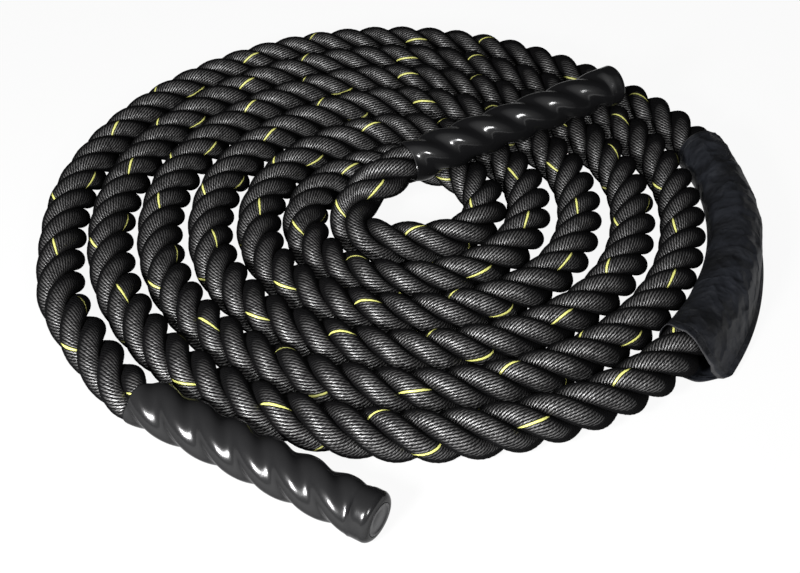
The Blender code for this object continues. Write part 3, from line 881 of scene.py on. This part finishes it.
def grip_surface(mouth, axes, turn, sizes, start):
    """A lumpy skin, a rounded shoulder, a lip round the cap's face and the inside back to the mouth.

    The mouth's edge lies at start(1 + k cos a) plus a ripple of sin(3a).
    """
    shoulder = sizes.length - sizes.shoulder
    angle = np.arange(SKIN_SIDES) * TURN / SKIN_SIDES
    mouth_line = start * (1 + MOUTH_SLANT_SHARE * np.cos(angle)) + MOUTH_RIPPLE * np.sin(3 * angle + 1)
    heights = mouth_line + (shoulder - mouth_line) * np.linspace(0, 1, SKIN_RINGS)[:, None]
    radii = lumpy_radii(heights, turn, sizes, SKIN_SIDES)
    turned = np.linspace(0, TURN / 4, SHOULDER_RINGS)[1:]
    end_heights = shoulder + sizes.shoulder * np.sin(turned)
    end_radii = sizes.end_radius - sizes.shoulder * (1 - np.cos(turned))
    lip_heights = np.array([sizes.length, sizes.length - sizes.wall * LIP_ROUND_SHARE,
                            sizes.length - sizes.wall])
    lip_radii = np.array([sizes.window + LIP_ROUND, sizes.window, sizes.window])
    outer = lathe(mouth, axes, heights, radii, SKIN_SIDES)
    ends = lathe(mouth, axes, np.r_[end_heights, lip_heights],
                 np.repeat(np.r_[end_radii, lip_radii][:, None], SKIN_SIDES, axis=1), SKIN_SIDES)
    inside_heights = np.vstack([np.full((1, SKIN_SIDES), sizes.length - sizes.wall), heights[::-1]])
    inside_radii = np.vstack([np.full((1, SKIN_SIDES), sizes.end_radius - sizes.shoulder),
                              radii[::-1] - sizes.wall])
    inside = lathe(mouth, axes, inside_heights, inside_radii, SKIN_SIDES)
    return np.vstack([outer, ends, inside])


def cap_profile(rope, sizes):
    """Heights and radii of a cap: up its skirt, over its edge, and in over the raised face."""
    face = sizes.length - sizes.wall - CAP_SINK
    top = face + CAP_RISE
    boss = sizes.window - FIT_GAP
    skirt = sizes.end_radius - sizes.wall - FIT_GAP
    bore = rope.diameter / 2 * rope.squeeze + FIT_GAP
    foot = face - sizes.skirt
    raised = [top, boss] - np.array(CAP_FACE)
    return np.vstack([[(foot, bore), (foot, skirt)], [face, skirt] - np.array(CAP_EDGE), [(face, boss)],
                      raised, [(raised[-1, 0], CAP_CENTRE)]])


class ShrinkGrips(bpy.types.Operator):
    """Shrinks a glossy skin over each end of the rope"""

    bl_idname = "battle_rope.shrink_grips"
    bl_label = "Grips"

    def execute(self, context):
        rope = context.scene.rope_sizes
        sizes = context.scene.grip_sizes
        skins = {"outer": skin_material("outer_skin", sizes, roughness=0.22, dull_from=0.22,
                                        dull_to=0.52, gloss=0.6, edge_gloss=0.07),
                 "inner": skin_material("inner_skin", sizes, roughness=0.17, dull_from=0.03,
                                        dull_to=0.20, gloss=1.0, edge_gloss=0.02)}
        starts = {"outer": sizes.trim, "inner": 0.0}
        for side, mouth, axes, turn in grip_places(rope, rope_line(rope)):
            points = grip_surface(mouth, axes, turn, sizes, starts[side])
            mesh = skin_mesh(side + "_grip_skin", points, ends="ring")
            grip = add_piece(mesh.name, mesh, skins[side], "rope")
            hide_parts(side + "_grip")
        return {"FINISHED"}


class MouldCaps(bpy.types.Operator):
    """Moulds the cap that shows in the end of each grip"""

    bl_idname = "battle_rope.mould_caps"
    bl_label = "End caps"

    def execute(self, context):
        rope = context.scene.rope_sizes
        sizes = context.scene.grip_sizes
        material = patchy_material("cap_rubber", tuple(sizes.cap_black), tuple(sizes.cap_pale),
                                   roughness=0.45, patch_scale=120.0, grain_scale=900.0)
        profile = cap_profile(rope, sizes)
        radii = np.repeat(profile[:, 1:], CAP_SIDES, axis=1)
        for side, mouth, axes, _ in grip_places(rope, rope_line(rope)):
            mesh = skin_mesh(side + "_cap_face", lathe(mouth, axes, profile[:, 0], radii, CAP_SIDES))
            cap = add_piece(mesh.name, mesh, material, "rope")
            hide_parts(side + "_end_cap")
        return {"FINISHED"}


class WindWhippings(bpy.types.Operator):
    """Winds a band of tape over the strands inside each grip"""

    bl_idname = "battle_rope.wind_whippings"
    bl_label = "Whippings"

    def execute(self, context):
        rope = context.scene.rope_sizes
        sizes = context.scene.grip_sizes
        material = patchy_material("binding_tape", tuple(sizes.tape_grey), tuple(sizes.tape_pale),
                                   roughness=0.55, patch_scale=260.0, grain_scale=700.0)
        heights = np.linspace(sizes.tape_end - sizes.tape, sizes.tape_end, TAPE_RINGS)
        for side, mouth, axes, turn in grip_places(rope, rope_line(rope)):
            radii = lumpy_radii(heights, turn, sizes, TAPE_SIDES) - sizes.wall - FIT_GAP
            outside = lathe(mouth, axes, heights, radii, TAPE_SIDES)
            inside = lathe(mouth, axes, heights[::-1], radii[::-1] - TAPE_THICKNESS, TAPE_SIDES)
            mesh = skin_mesh(side + "_tape", np.vstack([outside, inside]), ends="ring")
            tape = add_piece(mesh.name, mesh, material, "rope")
            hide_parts(side + "_whipping")
        return {"FINISHED"}


# Sleeve


def sleeve_arc():
    """The circle through three points of the sleeve's stretch: centre, radius and way to the middle."""
    reach = SLEEVE_REACH - SLEEVE_TRAVEL
    first, middle, last = coil_points(SLEEVE_TURN + np.array([-reach, 0, reach]), 0.0, 0.0)[:, :2]
    lines = 2 * np.array([middle - first, last - middle])
    offsets = np.array([middle @ middle - first @ first, last @ last - middle @ middle])
    centre = np.linalg.solve(lines, offsets)
    return centre, np.linalg.norm(middle - centre), middle - centre


def on_circle(radius, angle):
    """Points r(cos a, sin a)."""
    return np.stack([radius * np.cos(angle), radius * np.sin(angle)], axis=-1)


def sleeve_section(radius, reach, drop, flange):
    """Flat edge, straight to the circle's tangent point, round its far side, and back the same way."""
    away = np.hypot(reach, drop)
    aim = np.arctan2(-drop, reach)
    opening = np.arccos(np.clip(radius / away, -1, 1))
    corner = np.stack([reach, -drop], axis=-1)
    top = aim + opening
    low = aim - opening + TURN
    upper, lower = on_circle(radius, top), on_circle(radius, low)
    tip = corner + flange[:, None] * unit(unit(corner - upper) + [1.0, 0.0])
    edge = np.linspace(0, 1, EDGE_POINTS)[None, :, None]
    side = np.linspace(0, 1, SIDE_POINTS)[None, 1:, None]
    round_share = np.linspace(0, 1, ROUND_POINTS)[None, 1:]
    parts = [tip[:, None] + (corner - tip)[:, None] * edge,
             corner[:, None] + (upper - corner)[:, None] * side,
             on_circle(radius, top[:, None] + (low - top)[:, None] * round_share),
             lower[:, None] + (corner - lower)[:, None] * side,
             corner[:, None] + (tip - corner)[:, None] * edge[:, 1:-1]]
    return np.concatenate(parts, axis=1)


def cloth_noise(places, waves, seed, octaves=4):
    """wave_noise at the places along, across and up the cloth, each times its number of waves."""
    x, y = (sum(count * place for count, place in zip(row, places)) for row in waves)
    return wave_noise(x, y, seed, octaves)


def cloth_folds(share, across, up):
    """Height of the folds: soft swells plus creases of (1 - |noise|) raised to a power.

    They are lower on the inner side, and fade out below the rope's middle.
    """
    places = (share, across, up)
    soft = cloth_noise(places, SWELL_WAVES, seed=5)
    crease = (1 - np.abs(cloth_noise(places, CREASE_WAVES, seed=8, octaves=3))) ** 6
    fine = (1 - np.abs(cloth_noise(places, FINE_WAVES, seed=21, octaves=3))) ** 4
    outer = INNER_FOLD_SHARE + (1 - INNER_FOLD_SHARE) * ramp(across, start=-0.020, length=0.030)
    lift = SWELL_HEIGHT * (soft + SWELL_BASE) + CREASE_HEIGHT * crease + FINE_HEIGHT * fine
    return np.clip(lift * outer * ramp(up, start=-0.010, length=0.008), 0, None)


def mouth_cut(share, across, up):
    """How far the cloth is cut back towards the lower mouth: most at the corner, less inside."""
    corner = ramp(across, start=0.020, length=0.032) ** CORNER_CUT_POWER
    inner = ramp(-across, start=0.004, length=0.024) * (up > -0.020)
    return ramp(share, start=0.80, length=0.20) * (CORNER_CUT * corner + INNER_CUT * inner)


def sleeve_rings(rope, sizes, inset):
    """The section carried round the arc, with its folds, its slack and its cut lower mouth."""
    centre, radius, middle = sleeve_arc()
    share = np.linspace(-1, 1, CLOTH_RINGS)
    rounding = np.clip((share - (1 - CORNER_ROUND_SHARE)) / CORNER_ROUND_SHARE, 0, 1)
    rounded = CORNER_ROUND * (1 - np.sqrt(1 - rounding ** 2))
    reach = np.interp(share, CORNER_SHARES, CORNER_REACHES) - inset - rounded
    drop = np.interp(share, CORNER_SHARES, CORNER_DROPS)
    flange = np.interp(share, CORNER_SHARES, EDGE_WIDTH_SHARES) * (INSIDE_EDGE if inset else sizes.flange)
    body = rope.diameter / 2 + sizes.clearance + sizes.wall - inset
    section = sleeve_section(body, reach, drop, flange)
    across, up = section[..., 0], section[..., 1]
    sheet = share[:, None]
    lift = cloth_folds(sheet, across, up)
    spread = np.hypot(across, up + FOLD_DEPTH)
    across = across + lift * across / spread * FOLD_SPREAD_SHARE
    up = up + lift
    slack = (1 - ramp(np.abs(sheet), start=0.35, length=0.4)) * ramp(-across, start=0.010, length=0.014)
    across = across - INNER_SLACK * slack
    walk = sheet * sizes.length / 2 - sizes.shift - mouth_cut(sheet, across, up)
    facing = math.atan2(middle[1], middle[0]) - walk / radius
    span = radius + across - UPPER_PULL * ramp(-sheet, start=0.45, length=0.55)
    height = np.maximum(rope.diameter / 2 + SLEEVE_RISE + up, CLOTH_FLOOR_GAP + inset)
    points = np.stack([centre[0] + span * np.cos(facing), centre[1] + span * np.sin(facing), height], axis=2)
    steps = np.linalg.norm(np.diff(section, axis=1, append=section[:, :1]), axis=2)
    walked = np.concatenate([np.zeros((len(share), 1)), np.cumsum(steps, axis=1)], axis=1)
    walked = np.minimum(walked, walked[:, -1:] - walked)
    uv = np.stack([np.broadcast_to(sheet * sizes.length / 2, walked.shape), walked], axis=2)
    return points + HUB, uv


class SewSleeve(bpy.types.Operator):
    """Sews the slack cloth sleeve round the outermost turn"""

    bl_idname = "battle_rope.sew_sleeve"
    bl_label = "Sleeve"

    def execute(self, context):
        rope = context.scene.rope_sizes
        sizes = context.scene.sleeve_sizes
        outside, uv = sleeve_rings(rope, sizes, 0.0)
        inside, _ = sleeve_rings(rope, sizes, sizes.wall)
        points = np.concatenate([outside, inside[::-1]])
        both = np.concatenate([uv, uv[::-1], uv[:1]])
        mesh = skin_mesh("sleeve_cloth", points, both, ends="ring")
        sleeve = add_piece(mesh.name, mesh, cloth_material("woven_nylon", sizes), "sleeve")
        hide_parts("anchor_sleeve")
        return {"FINISHED"}


# Stage


def floor_material(colour, glow):
    """Pale and matt; camera, glossy and transmission rays see it as a mix with plain white."""
    shader = Shader("white_floor")
    shader.put("Base Color", colour)
    shader.put("Roughness", 0.95)
    shader.put("Specular IOR Level", 0.0)
    white = shader.node("ShaderNodeEmission")
    paths = shader.node("ShaderNodeLightPath").outputs
    seen = shader.math("MAXIMUM", paths["Is Camera Ray"], paths["Is Glossy Ray"])
    seen = shader.math("MAXIMUM", seen, paths["Is Transmission Ray"])
    blend = shader.node("ShaderNodeMixShader")
    shader.feed(blend.inputs[0], shader.times(seen, glow))
    shader.feed(blend.inputs[1], shader.surface.outputs[0])
    shader.feed(blend.inputs[2], white.outputs[0])
    shader.feed(shader.tree.nodes["Material Output"].inputs["Surface"], blend.outputs[0])
    return shader.material


def add_lamp(name, place, power):
    """A soft round lamp that points at the middle of the part."""
    lamp = bpy.data.lights.new(name, "AREA")
    lamp.shape = "DISK"
    lamp.size = LAMP_SIZE
    lamp.energy = power
    item = bpy.data.objects.new(name, lamp)
    item.location = place
    item.rotation_euler = (-Vector(place)).to_track_quat("-Z", "Y").to_euler()
    bpy.context.scene.collection.objects.link(item)


def studio_sky(strength):
    """White light from all round, strongest from the left and the front."""
    world = bpy.data.worlds.new("studio_sky")
    world.use_nodes = True
    nodes, links = world.node_tree.nodes, world.node_tree.links
    slope = nodes.new("ShaderNodeVectorMath")
    slope.operation = "DOT_PRODUCT"
    slope.inputs[1].default_value = SKY_SLOPE
    links.new(nodes.new("ShaderNodeTexCoord").outputs["Generated"], slope.inputs[0])
    share = nodes.new("ShaderNodeMapRange")
    limits = (-0.6, 1.0, SKY_DARK_SHARE * strength, SKY_BRIGHT_SHARE * strength)
    for socket, value in zip(share.inputs[1:5], limits):
        socket.default_value = value
    links.new(slope.outputs["Value"], share.inputs[0])
    links.new(share.outputs[0], nodes["Background"].inputs["Strength"])
    nodes["Background"].inputs["Color"].default_value = (1.0, 1.0, 1.0, 1.0)
    return world


class SetStage(bpy.types.Operator):
    """Sets the floor, the lamps, the sky and the camera"""

    bl_idname = "battle_rope.set_stage"
    bl_label = "Stage"

    def execute(self, context):
        studio = context.scene.studio_settings
        reach = FLOOR_REACH
        mesh = bpy.data.meshes.new("studio_floor")
        mesh.from_pydata([(-reach, -reach, 0), (reach, -reach, 0), (reach, reach, 0), (-reach, reach, 0)],
                         [], [(0, 1, 2, 3)])
        floor = bpy.data.objects.new("studio_floor", mesh)
        floor.data.materials.append(floor_material(tuple(studio.floor), studio.glow))
        context.scene.collection.objects.link(floor)
        add_lamp("left_lamp", LEFT_LAMP, studio.key_power)
        add_lamp("right_lamp", RIGHT_LAMP, studio.fill_power)
        context.scene.world = studio_sky(studio.sky)
        lens = bpy.data.cameras.new("photo_camera")
        lens.lens = studio.lens
        lens.sensor_width = SENSOR_WIDTH
        lens.clip_start = 0.01
        camera = bpy.data.objects.new("photo_camera", lens)
        camera.location = HUB + CAMERA_PLACE
        camera.rotation_euler = (CAMERA_TILT, 0.0, 0.0)
        context.scene.collection.objects.link(camera)
        context.scene.camera = camera
        context.scene.view_settings.view_transform = "Standard"
        return {"FINISHED"}


class BattleRopePanel(bpy.types.Panel):
    """Buttons for the pieces, in the order in which they are made"""

    bl_idname = "VIEW3D_PT_battle_rope"
    bl_label = "Battle Rope"
    bl_space_type = "VIEW_3D"
    bl_region_type = "UI"
    bl_category = "Battle Rope"

    def draw(self, context):
        for step in STEPS:
            self.layout.operator(step.bl_idname)


STEPS = (SetStage, LayRope, ShrinkGrips, MouldCaps, WindWhippings, SewSleeve)
GROUPS = {"rope_sizes": RopeSizes, "grip_sizes": GripSizes, "sleeve_sizes": SleeveSizes,
          "studio_settings": StudioSettings}


def register():
    """Adds the groups of sizes to the scene, then the operators and the panel."""
    for group in GROUPS.values():
        bpy.utils.register_class(group)
    for name, group in GROUPS.items():
        setattr(bpy.types.Scene, name, PointerProperty(type=group))
    for step in STEPS + (BattleRopePanel,):
        bpy.utils.register_class(step)


def unregister():
    """Takes away what register adds."""
    for step in reversed(STEPS + (BattleRopePanel,)):
        bpy.utils.unregister_class(step)
    for name, group in GROUPS.items():
        delattr(bpy.types.Scene, name)
        bpy.utils.unregister_class(group)


def main():
    """Makes the stage and every piece."""
    register()
    bpy.ops.battle_rope.set_stage()
    bpy.ops.battle_rope.lay_rope()
    bpy.ops.battle_rope.shrink_grips()
    bpy.ops.battle_rope.mould_caps()
    bpy.ops.battle_rope.wind_whippings()
    bpy.ops.battle_rope.sew_sleeve()


if __name__ == "__main__":
    main()
